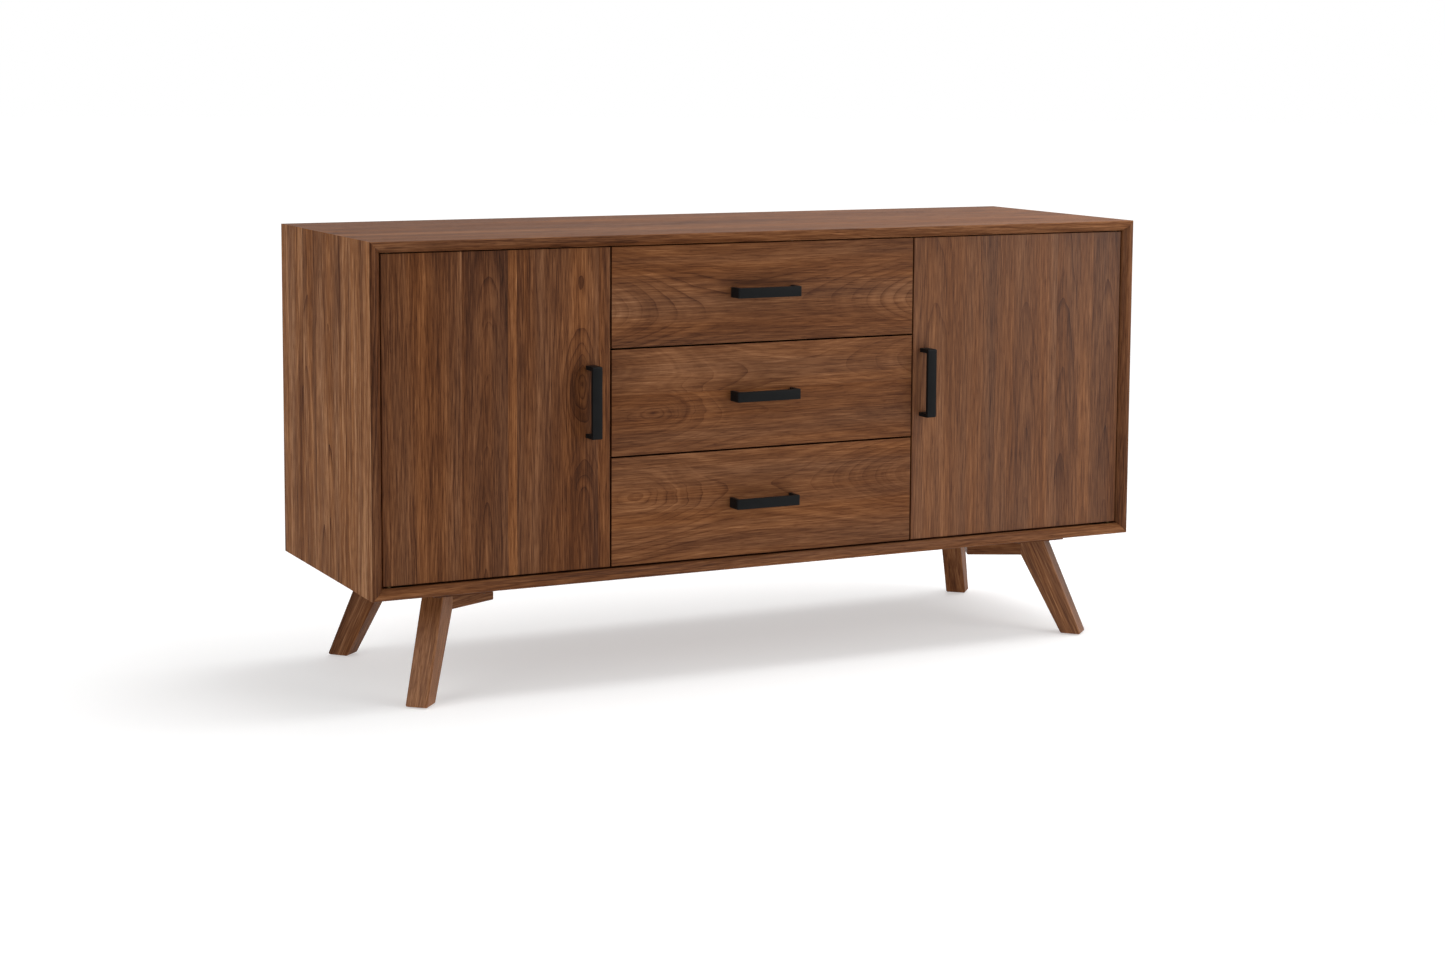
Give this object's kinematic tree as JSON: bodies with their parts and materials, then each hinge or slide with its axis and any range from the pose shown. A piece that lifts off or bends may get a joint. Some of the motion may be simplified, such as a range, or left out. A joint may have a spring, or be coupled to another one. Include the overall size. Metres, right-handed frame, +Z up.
{
  "type": "sideboard buffet",
  "caption": "Long low walnut sideboard with a cupboard at each end, a stack of drawers between them, black bar pulls and splayed wooden legs.",
  "frame": {"origin": "middle of the footprint, pulls included, on the floor", "axes": "+X to the right seen from the front, +Y to the back, +Z up; the doors and drawers face -Y"},
  "size_m": [1.525, 0.52, 0.8],
  "materials": {
    "walnut_case": "satin oiled walnut",
    "walnut_top": "satin oiled walnut",
    "walnut_fronts": "satin oiled walnut",
    "walnut_legs": "satin oiled walnut",
    "inner_veneer": "matt walnut veneer",
    "drawer_box_wood": "clear lacquered birch",
    "black_pulls": "matt black powder coat",
    "brass_hinges": "brushed",
    "zinc_steel": "zinc plated",
    "catch_plastic": "matt",
    "glide_nylon": "matt"
  },
  "bodies": {
    "case": {"top_panel": "walnut_top", "bottom_panel": "walnut_case", "side_panel_left": "walnut_case", "side_panel_right": "walnut_case", "partition_left": "inner_veneer", "partition_right": "inner_veneer", "back_panel": "inner_veneer", "shelf_left": "inner_veneer", "shelf_right": "inner_veneer", "shelf_pins": "zinc_steel", "leg_front_left": "walnut_legs", "leg_front_right": "walnut_legs", "leg_back_left": "walnut_legs", "leg_back_right": "walnut_legs", "leg_arm_front_left": "walnut_legs", "leg_arm_front_right": "walnut_legs", "leg_arm_back_left": "walnut_legs", "leg_arm_back_right": "walnut_legs", "leg_plates": "walnut_legs", "leg_plate_screws": "zinc_steel", "foot_glides": "glide_nylon", "hinge_leaves_case": "brass_hinges", "magnetic_catches": "catch_plastic", "slides_on_partitions": "zinc_steel"},
    "door_left": {"door_left": "walnut_fronts", "hinge_leaves_door_left": "brass_hinges", "pull_door_left": "black_pulls", "pull_screws_door_left": "zinc_steel"},
    "door_right": {"door_right": "walnut_fronts", "hinge_leaves_door_right": "brass_hinges", "pull_door_right": "black_pulls", "pull_screws_door_right": "zinc_steel"},
    "drawer_top": {"drawer_front_top": "walnut_fronts", "drawer_bottom_top": "drawer_box_wood", "drawer_side_left_top": "drawer_box_wood", "drawer_side_right_top": "drawer_box_wood", "drawer_back_top": "drawer_box_wood", "pull_drawer_top": "black_pulls", "pull_screws_drawer_top": "zinc_steel", "slide_drawer_top": "zinc_steel"},
    "slide_middle_top": {"slide_middle_top": "zinc_steel"},
    "drawer_middle": {"drawer_front_middle": "walnut_fronts", "drawer_bottom_middle": "drawer_box_wood", "drawer_side_left_middle": "drawer_box_wood", "drawer_side_right_middle": "drawer_box_wood", "drawer_back_middle": "drawer_box_wood", "pull_drawer_middle": "black_pulls", "pull_screws_drawer_middle": "zinc_steel", "slide_drawer_middle": "zinc_steel"},
    "slide_middle_middle": {"slide_middle_middle": "zinc_steel"},
    "drawer_bottom": {"drawer_front_bottom": "walnut_fronts", "drawer_bottom_bottom": "drawer_box_wood", "drawer_side_left_bottom": "drawer_box_wood", "drawer_side_right_bottom": "drawer_box_wood", "drawer_back_bottom": "drawer_box_wood", "pull_drawer_bottom": "black_pulls", "pull_screws_drawer_bottom": "zinc_steel", "slide_drawer_bottom": "zinc_steel"},
    "slide_middle_bottom": {"slide_middle_bottom": "zinc_steel"}
  },
  "joints": [
    {"name": "door_left_swing", "type": "hinge", "parent": "case", "child": "door_left", "pos_m": [-0.7285, -0.221, 0.498], "axis": [0, 0, -1], "range_deg": [0, 100]},
    {"name": "door_right_swing", "type": "hinge", "parent": "case", "child": "door_right", "pos_m": [0.7285, -0.221, 0.498], "axis": [0, 0, 1], "range_deg": [0, 100]},
    {"name": "drawer_top_slide", "type": "slide", "parent": "case", "child": "drawer_top", "axis": [0, -1, 0], "range_m": [0, 0.36]},
    {"name": "slide_middle_top_travel", "type": "slide", "parent": "case", "child": "slide_middle_top", "axis": [0, -1, 0], "range_m": [0, 0.18]},
    {"name": "drawer_middle_slide", "type": "slide", "parent": "case", "child": "drawer_middle", "axis": [0, -1, 0], "range_m": [0, 0.36]},
    {"name": "slide_middle_middle_travel", "type": "slide", "parent": "case", "child": "slide_middle_middle", "axis": [0, -1, 0], "range_m": [0, 0.18]},
    {"name": "drawer_bottom_slide", "type": "slide", "parent": "case", "child": "drawer_bottom", "axis": [0, -1, 0], "range_m": [0, 0.36]},
    {"name": "slide_middle_bottom_travel", "type": "slide", "parent": "case", "child": "slide_middle_bottom", "axis": [0, -1, 0], "range_m": [0, 0.18]}
  ],
  "couplings": [
    {"joint": "slide_middle_top_travel", "follows": "drawer_top_slide", "ratio": 0.5},
    {"joint": "slide_middle_middle_travel", "follows": "drawer_middle_slide", "ratio": 0.5},
    {"joint": "slide_middle_bottom_travel", "follows": "drawer_bottom_slide", "ratio": 0.5}
  ]
}
